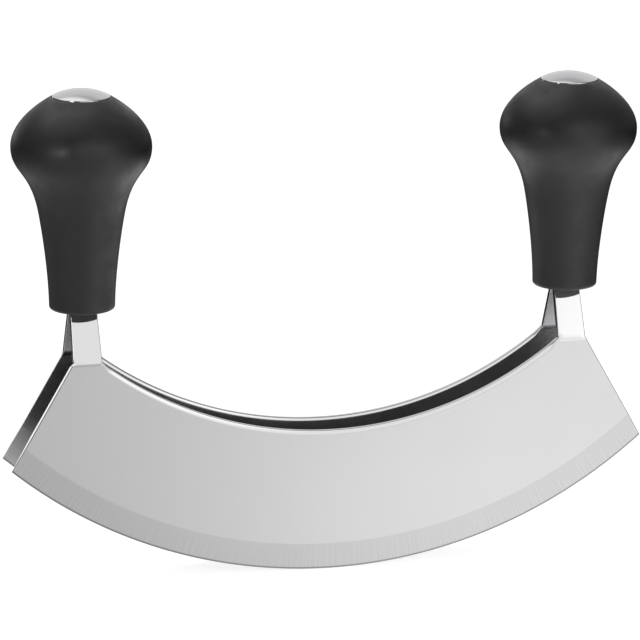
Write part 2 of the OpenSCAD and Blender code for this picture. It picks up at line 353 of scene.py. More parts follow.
@dataclass
class Blade:
    """One blade: a sheet with a curved edge and back, ground along the edge and bent into two tangs."""

    # The CAD blade's sizes
    tip_span: float = 210.0
    edge_radius: float = 161.5
    blade_depth: float = 46.6
    back_radius: float = 121.2
    sheet: float = 2.0
    blade_gap: float = 14.4
    grind_width: float = 8.6
    # The inner side is ground further up and deeper, so the edge lies off the sheet's middle
    inner_grind_width: float = 12.4
    edge_offset: float = 0.2
    ground_thickness: float = 0.5
    hone_height: float = 0.6
    edge_thickness: float = 0.1
    knob_spacing: float = 160.8
    tang_foot_width: float = 9.3
    tang_width: float = 8.6
    neck_height: float = 15.8
    meet_height: float = 0.7
    tang_reach: float = 16.3
    bend_radius: float = 4.5
    # How far the polished rounding reaches down the outer face: along the back, and round the rest
    back_rim: float = 1.5
    side_rim: float = 0.3
    # The same on the inner face
    inner_rim: float = 1.0
    side_corner: float = 0.12
    # How far the back's corners are rolled over, and the curve's power: 1 for round, less for flatter
    back_roll: float = 0.55
    roll_power: float = 0.6
    # Largest roll as a share of the sheet's thickness
    thickest_roll: float = 0.49
    # Stretch of the back over which one rounding becomes the other, and soft top of the ground band
    rim_blend: float = 4.5
    grind_blend: float = 1.2
    # How far under the foot the fold's rows start, as a share of the bend's set-back
    fold_share: float = 0.8
    # Weight of the large faces in the shading, of 100
    area_weight: int = 100
    search_steps: int = 40
    corner_steps: int = 6
    foot_columns: int = 6
    bend_steps: int = 10
    tang_steps: int = 6
    back_columns: int = 168
    face_rows: int = 6
    fold_rows: int = 5
    points: list[Point3] = field(default_factory=list)
    faces: list[tuple[int, ...]] = field(default_factory=list)
    zones: list[Zone] = field(default_factory=list)

    def __post_init__(self) -> None:
        """Works out the outline's corners and the bends."""
        self.middle_y = (self.blade_gap + self.sheet) / 2
        self.back_centre = self.blade_depth + self.back_radius
        self.tang_x = self.knob_spacing / 2
        self.foot_inner = self.tang_x - self.tang_foot_width / 2
        self.foot_outer = self.tang_x + self.tang_foot_width / 2
        self.bend_z = self.back_centre - math.sqrt(self.back_radius ** 2 - self.foot_inner ** 2)
        tip_x = self.tip_span / 2
        self.tip = (tip_x, self.edge_radius - math.sqrt(self.edge_radius ** 2 - tip_x ** 2))
        self.meet_z = self.bend_z + self.neck_height + self.meet_height
        self.lean = math.atan((self.middle_y - self.sheet / 2) / (self.meet_z - self.bend_z))
        self.middle_radius = self.bend_radius + self.sheet / 2
        self.bend_set = self.middle_radius * math.tan(self.lean / 2)
        self.bend_start = self.bend_z - self.bend_set
        self.bend_arc = self.middle_radius * self.lean
        self.slope = (self.meet_z - self.bend_z) / math.cos(self.lean) - 2 * self.bend_set
        run_x = self.tip[0] - self.foot_outer
        run_z = self.bend_z - self.tip[1]
        length = math.hypot(run_x, run_z)
        self.end_normal = (run_z / length, run_x / length)

    def section(self, level: float) -> tuple[float, float, float, float]:
        """The middle of the sheet at a height, and which way its outer side faces.

        Args:
            level: Height as if the sheet were straight; the tang's own length above the bend.

        Returns:
            Y and Z of the middle, and Y and Z of the outer normal, for the front blade.
        """
        rise = level - self.bend_start
        if rise <= 0:
            return -self.middle_y, level, -1.0, 0.0
        if rise <= self.bend_arc:
            turn = rise / self.middle_radius
            return (-self.middle_y + self.middle_radius * (1 - math.cos(turn)),
                    self.bend_start + self.middle_radius * math.sin(turn), -math.cos(turn), math.sin(turn))
        sine, cosine = math.sin(self.lean), math.cos(self.lean)
        if rise <= self.bend_arc + self.slope:
            along = rise - self.bend_arc
            foot_y = -self.middle_y + self.middle_radius * (1 - cosine)
            foot_z = self.bend_start + self.middle_radius * sine
            return foot_y + along * sine, foot_z + along * cosine, -cosine, sine
        if rise <= 2 * self.bend_arc + self.slope:
            turn = self.lean - (rise - self.bend_arc - self.slope) / self.middle_radius
            centre_y = -self.sheet / 2 - self.middle_radius
            centre_z = self.meet_z + self.bend_set
            return (centre_y + self.middle_radius * math.cos(turn),
                    centre_z - self.middle_radius * math.sin(turn), -math.cos(turn), math.sin(turn))
        over = rise - 2 * self.bend_arc - self.slope
        return -self.sheet / 2, self.meet_z + self.bend_set + over, -1.0, 0.0

    def half_thickness(self, place: Point, face: int = 1) -> float:
        """Half the sheet's thickness, less where the wheel has ground it.

        Args:
            place: X and level.
            face: 1 for the outer side and -1 for the inner one.

        Returns:
            Half the thickness.
        """
        width = self.grind_width if face == 1 else self.inner_grind_width
        depth = self.edge_radius - math.hypot(place[0], place[1] - self.edge_radius)
        if depth >= width or place[1] > self.bend_start:
            return self.sheet / 2
        ground = self.ground_thickness / 2 + face * self.edge_offset
        if depth >= self.hone_height:
            share = (depth - self.hone_height) / (width - self.hone_height)
            return ground + share * (self.sheet / 2 - ground)
        edge = self.edge_thickness / 2 + face * self.edge_offset
        return edge + max(depth, 0) / self.hone_height * (ground - edge)

    def at_depth(self, low: Point, high: Point, depth: float) -> Point:
        """The point between two others that lies at a depth from the cutting edge.

        Args:
            low: A point on the cutting edge.
            high: A point on the blade's back or foot.
            depth: The depth, towards the edge's centre.

        Returns:
            The point.
        """
        near, far = 0.0, 1.0
        for _ in range(self.search_steps):
            share = (near + far) / 2
            x = low[0] + (high[0] - low[0]) * share
            z = low[1] + (high[1] - low[1]) * share
            if self.edge_radius - math.hypot(x, z - self.edge_radius) < depth:
                near = share
            else:
                far = share
        return x, z

    def top_row(self) -> list[Pair]:
        """The blade's upper rim from the left foot's outer corner to the right one's.

        Returns:
            Its pairs.
        """
        rim = self.side_rim
        arc_radius = self.back_radius + rim
        inner_x = self.foot_inner + rim
        inner = (-inner_x, self.back_centre - math.sqrt(arc_radius ** 2 - inner_x ** 2))
        corner = (-self.foot_outer, self.bend_z)
        meet = 1 + self.end_normal[0]
        outer = (corner[0] + rim, corner[1] - rim * self.end_normal[1] / meet)
        row = [(outer, corner)]
        for share in spread(0, 1, self.foot_columns)[1:-1]:
            place = (outer[0] + (inner[0] - outer[0]) * share, outer[1] + (inner[1] - outer[1]) * share)
            row.append((place, place))
        row.append((inner, (-self.foot_inner, self.bend_z)))
        widest = math.asin(inner_x / arc_radius)
        for turn in spread(-widest, widest, self.back_columns)[1:-1]:
            share = min((widest - abs(turn)) * self.back_radius / self.rim_blend, 1)
            depth = rim + (self.back_rim - rim) * share * share * (3 - 2 * share)
            face_radius = self.back_radius + depth
            place = (face_radius * math.sin(turn), self.back_centre - face_radius * math.cos(turn))
            edge = (self.back_radius * math.sin(turn), self.back_centre - self.back_radius * math.cos(turn))
            row.append((place, edge))
        left = row[:self.foot_columns + 1]
        row += [((-p[0], p[1]), (-q[0], q[1])) for p, q in reversed(left)]
        return row

    def column(self, share: float, top: Point, end: bool) -> list[Pair]:
        """One column of the blade from the cutting edge to the rim.

        Args:
            share: How far along the cutting edge the column starts, from 0 at the left tip to 1.
            top: The column's upper point on the face.
            end: Whether the column runs along the blade's straight end.

        Returns:
            Its pairs; only those along a straight end differ in their two points.
        """
        widest = math.asin(self.tip[0] / self.edge_radius)
        turn = widest * (2 * share - 1)
        foot = (self.edge_radius * math.sin(turn), self.edge_radius * (1 - math.cos(turn)))
        if end:
            sign = -1 if share < MIDDLE else 1
            top = (sign * self.foot_outer, self.bend_z)
        depths = (self.hone_height, self.grind_width - self.grind_blend, self.grind_width,
                  self.inner_grind_width)
        levels = [foot] + [self.at_depth(foot, top, depth) for depth in depths]
        ground = levels[-1]
        fold_z = min(self.bend_start, top[1] - self.bend_set * self.fold_share)
        fold = (fold_z - ground[1]) / (top[1] - ground[1])
        for part in spread(0, fold, self.face_rows)[1:] + spread(fold, 1, self.fold_rows)[1:-1]:
            levels.append(tuple(low + (high - low) * part for low, high in zip(ground, top)))
        if not end:
            return [(place, place) for place in levels]
        pairs = []
        for place in levels:
            inset = min(self.side_rim, (self.half_thickness(place) + self.half_thickness(place, -1)) / 2)
            face = (place[0] - sign * self.end_normal[0] * inset, place[1] - self.end_normal[1] * inset)
            pairs.append((face, place))
        return pairs

    def tang_rows(self, side: Side, foot: list[Pair]) -> list[list[Pair]]:
        """The tang's rows above the foot, each from its left rim to its right one.

        Args:
            side: Which tang.
            foot: The blade's row under the tang.

        Returns:
            Rows of pairs, as top_row gives them, ordered from the left.
        """
        lower_end = self.bend_start + self.bend_arc
        upper_start = self.bend_start + self.bend_arc + self.slope
        upper_end = self.bend_start + 2 * self.bend_arc + self.slope
        levels = spread(lower_end, upper_start, self.tang_steps)
        levels += spread(upper_start, upper_end, self.tang_steps)[1:]
        levels.append(upper_end + self.tang_reach - self.meet_height - self.bend_set)
        rows = []
        for level in levels:
            height = self.section(level)[1]
            share = min(max((height - self.bend_z) / self.neck_height, 0), 1)
            width = self.tang_foot_width + (self.tang_width - self.tang_foot_width) * share
            row = []
            for part in spread(-1, 1, self.foot_columns):
                x = side.value * self.tang_x + part * (width / 2 - self.side_rim)
                edge = x + (self.side_rim * part if abs(part) == 1 else 0)
                row.append(((x, level), (edge, level)))
            rows.append(row)
        return self.bend_rows(foot, rows[0]) + rows

    def bend_rows(self, foot: list[Pair], top: list[Pair]) -> list[list[Pair]]:
        """Rows over the lower bend, between the blade's upper rim and the tang's first straight row.

        Args:
            foot: The blade's row under the tang.
            top: The tang's first row above the bend.

        Returns:
            The rows between them, as tang_rows gives them.
        """
        rows = []
        for share in spread(0, 1, self.bend_steps)[1:-1]:
            row = []
            for low, high in zip(foot, top):
                face, edge = (tuple(a + (b - a) * share for a, b in zip(p, q)) for p, q in zip(low, high))
                row.append((face, edge))
            rows.append(row)
        return rows

    def put(self, place: Point, offset: float, mirror: int) -> int:
        """Adds a vertex.

        Args:
            place: X and level.
            offset: Distance from the sheet's middle towards its outer side.
            mirror: 1 for the front blade and -1 for the rear one.

        Returns:
            The vertex's number.
        """
        y, z, normal_y, normal_z = self.section(place[1])
        self.points.append((place[0], mirror * (y + offset * normal_y), z + offset * normal_z))
        return len(self.points) - 1

    def build(self, node: str, mirror: int) -> bpy.types.Object:
        """Builds the blade.

        Args:
            node: The CAD node that it stands for.
            mirror: 1 for the front blade and -1 for the rear one.

        Returns:
            The finished piece.
        """
        top = self.top_row()
        last = len(top) - 1
        grid = [self.column(i / last, pair[0], i in (0, last)) + [pair] for i, pair in enumerate(top)]
        first_column = {Side.LEFT: 0, Side.RIGHT: last - self.foot_columns}
        tangs = {side: self.tang_rows(side, top[first:first + self.foot_columns + 1])
                 for side, first in first_column.items()}
        sides: dict[int, list[list[int]]] = {}
        tang_grids: dict[tuple[int, Side], list[list[int]]] = {}
        for face in (1, -1):
            sides[face] = [[self.put(p, face * self.half_thickness(p, face), mirror) for p, _ in column]
                           for column in grid]
            for side, first in first_column.items():
                foot = [column[-1] for column in sides[face][first:first + self.foot_columns + 1]]
                half = face * self.sheet / 2
                upper = [[self.put(p, half, mirror) for p, _ in row] for row in tangs[side]]
                tang_grids[face, side] = [foot] + upper
        for face in (1, -1):
            self.cover(face, mirror, sides[face], [tang_grids[face, side] for side in Side])
        self.round_rim(self.rim_loop(grid, sides, tangs, tang_grids), mirror)
        for here, there, inner_here, inner_there in zip(sides[1], sides[1][1:], sides[-1], sides[-1][1:]):
            self.quad(here[0], inner_here[0], inner_there[0], there[0], Zone.HONED, mirror < 0)
        piece = new_piece(node + "_steel", self.points, self.faces)
        dress(piece, SATIN_STEEL, GROUND_STEEL, HONED_STEEL_PAINTED_SHADE, POLISHED_STEEL, ROLLED_STEEL)
        for polygon, zone in zip(piece.data.polygons, self.zones):
            polygon.material_index = zone.value
        self.smooth(piece)
        finish_piece(piece, node)
        return piece

    def cover(self, face: int, mirror: int, columns: list[list[int]], tangs: list[list[list[int]]]) -> None:
        """Lays the faces of one side of the sheet.

        Args:
            face: 1 for the outer side and -1 for the inner one.
            mirror: 1 for the front blade and -1 for the rear one.
            columns: Vertex numbers of the blade's columns, from the cutting edge upwards.
            tangs: Vertex numbers of both tangs' rows.
        """
        flip = face * mirror < 0
        plain, ground_rows = (Zone.FACE, 2) if face == 1 else (Zone.INNER, 3)
        last, top = len(columns) - 1, len(columns[0]) - 1
        for i, (here, there) in enumerate(zip(columns, columns[1:])):
            under_tang = i < self.foot_columns or i >= last - self.foot_columns
            for j in range(top):
                folded = under_tang and j >= top - self.fold_rows
                zone = Zone.HONED if j == 0 else Zone.GROUND if j <= ground_rows else plain
                self.quad(here[j], there[j], there[j + 1], here[j + 1], Zone.POLISHED if folded else zone,
                          flip)
        for tang in tangs:
            for low, high in zip(tang, tang[1:]):
                for j in range(self.foot_columns):
                    self.quad(low[j], low[j + 1], high[j + 1], high[j], Zone.POLISHED, flip)

    def quad(self, a: int, b: int, c: int, d: int, zone: Zone, flip: bool) -> None:
        """Adds a face, turned about where its blade or side is mirrored.

        Args:
            a: First corner.
            b: Second corner.
            c: Third corner.
            d: Fourth corner.
            zone: Whose finish it takes.
            flip: Whether to turn the face about.
        """
        self.faces.append((d, c, b, a) if flip else (a, b, c, d))
        self.zones.append(zone)

    def rim_loop(self, grid: list[list[Pair]], sides: dict[int, list[list[int]]],
                 tangs: dict[Side, list[list[Pair]]],
                 tang_grids: dict[tuple[int, Side], list[list[int]]]) -> list[RimEntry]:
        """The one rim of the sheet, from the left tip over both tangs to the right tip.

        Args:
            grid: Pairs of the blade's columns.
            sides: Vertex numbers of both faces of the blade.
            tangs: Pairs of the tangs' rows.
            tang_grids: Vertex numbers of both faces of the tangs.

        Returns:
            The rim's entries in order.
        """
        last = len(grid) - 1
        foot = self.foot_columns

        def blade_part(columns: range, rows: range) -> list[RimEntry]:
            """Rim entries of blade vertices."""
            return [(sides[1][i][j], sides[-1][i][j], *grid[i][j]) for i in columns for j in rows]

        def tang_part(side: Side, j: int) -> list[RimEntry]:
            """Rim entries up one side of a tang, above its foot."""
            outer, inner = tang_grids[1, side][1:], tang_grids[-1, side][1:]
            return [(a[j], b[j], *row[j]) for a, b, row in zip(outer, inner, tangs[side])]

        rows = range(len(grid[0]))
        left_end = blade_part(range(1), rows) + tang_part(Side.LEFT, 0)
        back = blade_part(range(foot, last + 1 - foot), rows[-1:])
        right_end = tang_part(Side.RIGHT, foot)[::-1] + blade_part(range(last, last + 1), rows[::-1])
        left_top, right_top = ([tang_part(side, j)[-1] for j in range(1, foot)] for side in Side)
        return (left_end + left_top + tang_part(Side.LEFT, foot)[::-1] + back
                + tang_part(Side.RIGHT, 0) + right_top + right_end)

    def rim_section(self, face: Point, edge: Point) -> list[tuple[int, float, float]]:
        """The rim's rounding from the outer face to the inner one.

        Args:
            face: Where the flat outer face ends.
            edge: The outline's point beyond it.

        Returns:
            For each step the side it belongs to, the share of the way to the outline, and the inset.
        """
        depth = math.dist(face, edge)
        widest = self.thickest_roll * (self.half_thickness(face) + self.half_thickness(face, -1))
        share = min(max((depth - self.side_rim) / (self.back_rim - self.side_rim), 0), 1)
        roll = min(self.side_rim + (self.back_roll - self.side_rim) * share, depth, widest)
        power = 1 + (self.roll_power - 1) * share
        # The inner corner is crisp on the ends and tangs, and rolled over like the outer one on the back
        crisp = self.side_corner / self.side_rim
        start = crisp + (self.inner_rim / self.back_rim - crisp) * share
        inner = crisp + (1 - crisp) * share
        curve = [(math.sin(turn), roll * (1 - math.cos(turn)) ** power)
                 for turn in spread(0, math.pi / 2, self.corner_steps)]
        outer = [(1, reach, inset) for reach, inset in curve[1:]]
        return outer + [(-1, 1 - start * (1 - reach), inner * inset) for reach, inset in reversed(curve)]

    def round_rim(self, loop: list[RimEntry], mirror: int) -> None:
        """Rounds the rim between the two faces.

        Args:
            loop: The rim's entries in order.
            mirror: 1 for the front blade and -1 for the rear one.
        """
        columns = []
        for outer, inner, face, edge in loop:
            column = [outer]
            for facing, reach, inset in self.rim_section(face, edge):
                place = (face[0] + (edge[0] - face[0]) * reach, face[1] + (edge[1] - face[1]) * reach)
                column.append(self.put(place, facing * (self.half_thickness(face, facing) - inset), mirror))
            column.append(inner)
            columns.append(column)
        last = len(columns[0]) - 2
        for here, there in zip(columns, columns[1:]):
            for k in range(last + 1):
                self.quad(here[k], there[k], there[k + 1], here[k + 1],
                          Zone.INNER if k == last else Zone.POLISHED, mirror < 0)
        for tip in (columns[0], columns[-1][::-1]):
            self.faces.append(tuple(tip[::mirror]))
            self.zones.append(Zone.HONED)

    def smooth(self, piece: bpy.types.Object) -> None:
        """Shades the piece by its large faces and keeps the grinding's lines crisp.

        Args:
            piece: The blade.
        """
        mesh = piece.data
        zone_of: dict[tuple[int, int], set[int]] = {}
        for polygon in mesh.polygons:
            for key in polygon.edge_keys:
                zone_of.setdefault(key, set()).add(polygon.material_index)
        for edge in mesh.edges:
            zones = zone_of[tuple(sorted(edge.vertices))]
            rim_of_band = {Zone.GROUND.value, Zone.POLISHED.value} <= zones
            edge.use_edge_sharp = len(zones) > 1 and (Zone.HONED.value in zones or rim_of_band)
        weighted = piece.modifiers.new("even_shading", "WEIGHTED_NORMAL")
        weighted.keep_sharp = True
        weighted.weight = self.area_weight


@dataclass
class Handle:
    """One knob with its cap, on the tangs of one side."""

    side: Side
    knob_height: float = 68.0
    base_radius: float = 10.5
    neck_rise: float = 32.6
    neck_radius: float = 14.0
    palm_rise: float = 52.4
    palm_radius: float = 22.3
    land_width: float = 0.6
    base_round: float = 1.2
    pocket_width: float = 12.1
    pocket_thickness: float = 10.1
    pocket_top: float = 26.2
    clamp_wall: float = 9.8
    screw_hole_radius: float = 2.7
    well_radius: float = 5.5
    cap_diameter: float = 18.5
    cap_rise: float = 2.25
    cap_stand: float = 0.35
    seat_depth: float = 1.0
    cap_sheet: float = 0.7
    fit: float = 0.05
    # Radius of the soft corner between the cap's wall and its dome, and of the land's inner rim
    cap_corner: float = 0.45
    land_corner: float = 0.15
    # Pulls that shape the outline at its stations: lean from upright in degrees, and length
    base_pull: Point = (1.0, 12.5)
    below_neck_pull: Point = (12.0, -4.1)
    above_neck_pull: Point = (12.0, 12.7)
    below_palm_pull: Point = (0.0, -7.8)
    above_palm_pull: Point = (0.0, 6.8)
    rim_pull: Point = (-60.0, -6.0)
    turns: int = 120
    curve_steps: int = 26
    round_steps: int = 8
    lip_steps: int = 4
    dome_steps: int = 24
    # Angle at which the dome's last ring lies, just short of its top
    dome_end: float = 89.6

    def __post_init__(self) -> None:
        """Takes the axis and the base's height from the frame."""
        low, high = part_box(f"{self.side.word}_knob")
        self.axis_x = (low[0] + high[0]) / 2 / MM
        self.base_z = low[2] / MM
        self.seat_rise = self.knob_height - self.seat_depth
        self.seat_radius = self.cap_diameter / 2 + self.fit
        self.rim_radius = self.seat_radius + self.land_width

    @staticmethod
    def curve(start: Point, start_pull: Point, end_pull: Point, end: Point, steps: int) -> list[Point]:
        """A smooth curve between two stations.

        Args:
            start: Radius and height where it starts.
            start_pull: Where it heads from there.
            end_pull: Where it comes from at the end.
            end: Radius and height where it ends.
            steps: How many steps it has.

        Returns:
            Its points after the first.
        """
        points = []
        for t in spread(0, 1, steps)[1:]:
            s = 1 - t
            weights = (s ** 3, 3 * s * s * t, 3 * s * t * t, t ** 3)
            stations = (start, start_pull, end_pull, end)
            points.append(tuple(sum(w * p[k] for w, p in zip(weights, stations)) for k in (0, 1)))
        return points

    @staticmethod
    def arc(centre: Point, radius: float, start: float, end: float, steps: int) -> list[Point]:
        """Points along an arc.

        Args:
            centre: Radius and height of its centre.
            radius: Its radius.
            start: Angle where it starts, in degrees.
            end: Angle where it ends, in degrees.
            steps: How many steps it has.

        Returns:
            Its points, both ends included.
        """
        turns = [math.radians(angle) for angle in spread(start, end, steps)]
        return [(centre[0] + radius * math.cos(t), centre[1] + radius * math.sin(t)) for t in turns]

    def outside(self) -> list[Point]:
        """The knob's outside from the rounded base to the land round the cap.

        Returns:
            Points as radius and height.
        """
        def ahead(place: Point, pull: Point) -> Point:
            """A point further along a pull."""
            turn = math.radians(pull[0])
            return place[0] + pull[1] * math.sin(turn), place[1] + pull[1] * math.cos(turn)

        base = (self.base_radius, self.base_round)
        neck = (self.neck_radius, self.neck_rise)
        palm = (self.palm_radius, self.palm_rise)
        rim = (self.rim_radius, self.knob_height)
        line = self.arc((self.base_radius - self.base_round, self.base_round), self.base_round, -90, 0,
                        self.round_steps)
        stretches = (
            (base, self.base_pull, self.below_neck_pull, neck),
            (neck, self.above_neck_pull, self.below_palm_pull, palm),
            (palm, self.above_palm_pull, self.rim_pull, rim),
        )
        for start, pull, back_pull, end in stretches:
            line += self.curve(start, ahead(start, pull), ahead(end, back_pull), end, self.curve_steps)
        return line

    def round_ring(self, radius: float, height: float) -> list[Point3]:
        """A ring of points about the knob's axis.

        Args:
            radius: Its radius.
            height: Its height above the base.

        Returns:
            The points.
        """
        turns = [2 * math.pi * i / self.turns for i in range(self.turns)]
        return [(self.axis_x + radius * math.cos(t), radius * math.sin(t), self.base_z + height)
                for t in turns]

    def pocket_ring(self, height: float) -> list[Point3]:
        """A ring of points on the rectangular pocket's wall.

        Args:
            height: Its height above the base.

        Returns:
            The points, with one at each corner.
        """
        half_x, half_y = self.pocket_width / 2, self.pocket_thickness / 2
        ring = []
        corner = math.atan2(half_y, half_x)
        step = 2 * math.pi / self.turns
        for i in range(self.turns):
            turn = i * step
            for target in (corner, math.pi - corner, math.pi + corner, 2 * math.pi - corner):
                if abs(turn - target) <= step / 2:
                    turn = target
            reach = min(half_x / max(abs(math.cos(turn)), TINY), half_y / max(abs(math.sin(turn)), TINY))
            x, y = reach * math.cos(turn), reach * math.sin(turn)
            ring.append((self.axis_x + x, y, self.base_z + height))
        return ring

    def skin(self, name: str, rings: list[list[Point3]], closed: bool) -> bpy.types.Object:
        """Joins rings into a surface.

        Args:
            name: The piece's name.
            rings: The rings, each to be joined to the next.
            closed: Whether the last ring joins the first; otherwise both ends get a face.

        Returns:
            The piece.
        """
        points = [p for ring in rings for p in ring]
        faces: list[tuple[int, ...]] = []
        for i in range(len(rings) if closed else len(rings) - 1):
            low, high = i * self.turns, (i + 1) % len(rings) * self.turns
            for j in range(self.turns):
                k = (j + 1) % self.turns
                faces.append((low + j, low + k, high + k, high + j))
        if not closed:
            faces.append(tuple(reversed(range(self.turns))))
            faces.append(tuple(range(len(points) - self.turns, len(points))))
        return new_piece(name, points, faces)

    def build_knob(self) -> bpy.types.Object:
        """Builds the moulded knob with its pocket, screw hole, well and cap seat.

        Returns:
            The piece.
        """
        corner = self.land_corner
        lip = self.arc((self.seat_radius + corner, self.knob_height - corner), corner, 90, 180,
                       self.lip_steps)
        wall_top = self.pocket_top + self.clamp_wall
        inside = [
            (self.seat_radius, self.seat_rise),
            (self.well_radius, self.seat_rise),
            (self.well_radius, wall_top),
            (self.screw_hole_radius, wall_top),
            (self.screw_hole_radius, self.pocket_top),
        ]
        rings = [self.pocket_ring(self.pocket_top), self.pocket_ring(0)]
        rings += [self.round_ring(r, h) for r, h in self.outside() + lip + inside]
        name = f"{self.side.word}_knob"
        piece = self.skin(name + "_moulding", rings, closed=True)
        piece.data.set_sharp_from_angle(angle=CREASE)
        dress(piece, MOULDED_PLASTIC)
        finish_piece(piece, name)
        return piece

    def build_cap(self) -> bpy.types.Object:
        """Builds the stamped cap: an even sheet with a straight wall, a soft corner and a low dome.

        Returns:
            The piece.
        """
        radius = self.cap_diameter / 2
        rim = self.knob_height + self.cap_stand
        ball = (radius ** 2 + self.cap_rise ** 2) / (2 * self.cap_rise)
        centre = rim + self.cap_rise - ball
        corner = self.cap_corner
        # The soft corner's centre is where it touches the wall and the dome
        corner_r = radius - corner
        corner_z = centre + math.sqrt((ball - corner) ** 2 - corner_r ** 2)
        slope = math.degrees(math.atan2(corner_z - centre, corner_r))
        line = [(radius, self.seat_rise)]
        line += self.arc((corner_r, corner_z), corner, 0, slope, self.round_steps)
        line += self.arc((0, centre), ball, slope, self.dome_end, self.dome_steps)[1:]
        inner = radius - self.cap_sheet
        inner_ball = ball - self.cap_sheet
        inner_slope = math.degrees(math.acos(inner / inner_ball))
        under = [(inner, self.seat_rise)]
        under += self.arc((0, centre), inner_ball, inner_slope, self.dome_end, self.dome_steps // 2)
        rings = [self.round_ring(r, h) for r, h in under[::-1] + line]
        name = f"{self.side.word}_cap"
        piece = self.skin(name + "_dome", rings, closed=False)
        piece.data.set_sharp_from_angle(angle=CREASE)
        dress(piece, CAP_STEEL)
        finish_piece(piece, name)
        return piece

    def dress_inside(self) -> None:
        """Gives the block, the rivets and the screw's stack their finishes; their CAD meshes stay."""
        finishes = {
            "tang_block": MACHINED_STEEL,
            "lower_rivet": ZINC_PLATE,
            "upper_rivet": ZINC_PLATE,
            "screw": ZINC_PLATE,
            "flat_washer": ZINC_PLATE,
            "spring_washer": ZINC_PLATE,
            "cap_plug": MOULDED_PLUG,
        }
        for part, finish in finishes.items():
            name = f"{self.side.word}_{part}"
            dress(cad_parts[name], finish)
            LOG.info("%s: dressed in %s", name, finish.name)


@dataclass(frozen=True)
class Slope:
    """A level that goes softly from one value to another between two places."""

    start: float
    end: float
    first: float = 0.0
    last: float = 1.0

    def inputs(self, place: bpy.types.NodeSocket | bpy.types.Node, unit: float = 1.0) -> dict:
        """What a Map Range node needs to follow the slope.

        Args:
            place: What the level follows.
            unit: Length of one of the slope's own units.

        Returns:
            The node's inputs.
        """
        return {"Value": place, "From Min": self.start * unit, "From Max": self.end * unit,
                "To Min": self.first, "To Max": self.last}


@dataclass(frozen=True)
class Softbox:
    """A lamp behind white cloth, aimed at the object, that fades towards the cloth's edges."""

    name: str
    # Where it hangs: degrees from the front towards the right, degrees up, and distance
    azimuth: float
    elevation: float
    distance_mm: float
    width_mm: float
    height_mm: float
    # Width of the fade, and the brightness of the cloth's middle, where 1 is white
    fade_mm: float
    radiance: float
    aim: Point3 = (0.0, 0.0, 80.0)

    def weave(self, tree: bpy.types.NodeTree) -> None:
        """Makes the cloth's light fade towards its edges.

        Args:
            tree: The lamp's tree.
        """
        tree.nodes.clear()
        place = add_node(tree, "ShaderNodeNewGeometry").outputs["Parametric"]
        parts = add_node(tree, "ShaderNodeSeparateXYZ", {"Vector": place})
        fades = []
        for axis, size in (("X", self.width_mm), ("Y", self.height_mm)):
            shift = add_node(tree, "ShaderNodeMath", {0: parts.outputs[axis], 1: MIDDLE},
                             operation="SUBTRACT")
            off = add_node(tree, "ShaderNodeMath", {0: shift}, operation="ABSOLUTE")
            slope = Slope(MIDDLE, MIDDLE - min(MIDDLE, self.fade_mm / size))
            fades.append(add_node(tree, "ShaderNodeMapRange", slope.inputs(off), interpolation_type=SOFT))
        both = add_node(tree, "ShaderNodeMath", dict(enumerate(fades)), operation="MULTIPLY")
        glow = add_node(tree, "ShaderNodeEmission", {"Strength": both})
        add_node(tree, "ShaderNodeOutputLight", {"Surface": glow})

    def hang(self) -> None:
        """Puts the lamp in the scene."""
        lamp = bpy.data.lights.new(self.name, "AREA")
        lamp.shape = "RECTANGLE"
        lamp.size = self.width_mm * MM
        lamp.size_y = self.height_mm * MM
        # An area lamp of this many watts has a face of the given radiance
        lamp.energy = self.radiance * math.pi * lamp.size * lamp.size_y
        lamp.use_nodes = True
        self.weave(lamp.node_tree)
        hung = bpy.data.objects.new(self.name, lamp)
        turn, tilt = math.radians(self.azimuth), math.radians(self.elevation)
        way = Vector((math.sin(turn) * math.cos(tilt), -math.cos(turn) * math.cos(tilt), math.sin(tilt)))
        hung.location = (Vector(self.aim) + way * self.distance_mm) * MM
        hung.rotation_euler = way.to_track_quat("Z", "Y").to_euler()
        hung.visible_camera = False
        bpy.context.scene.collection.objects.link(hung)


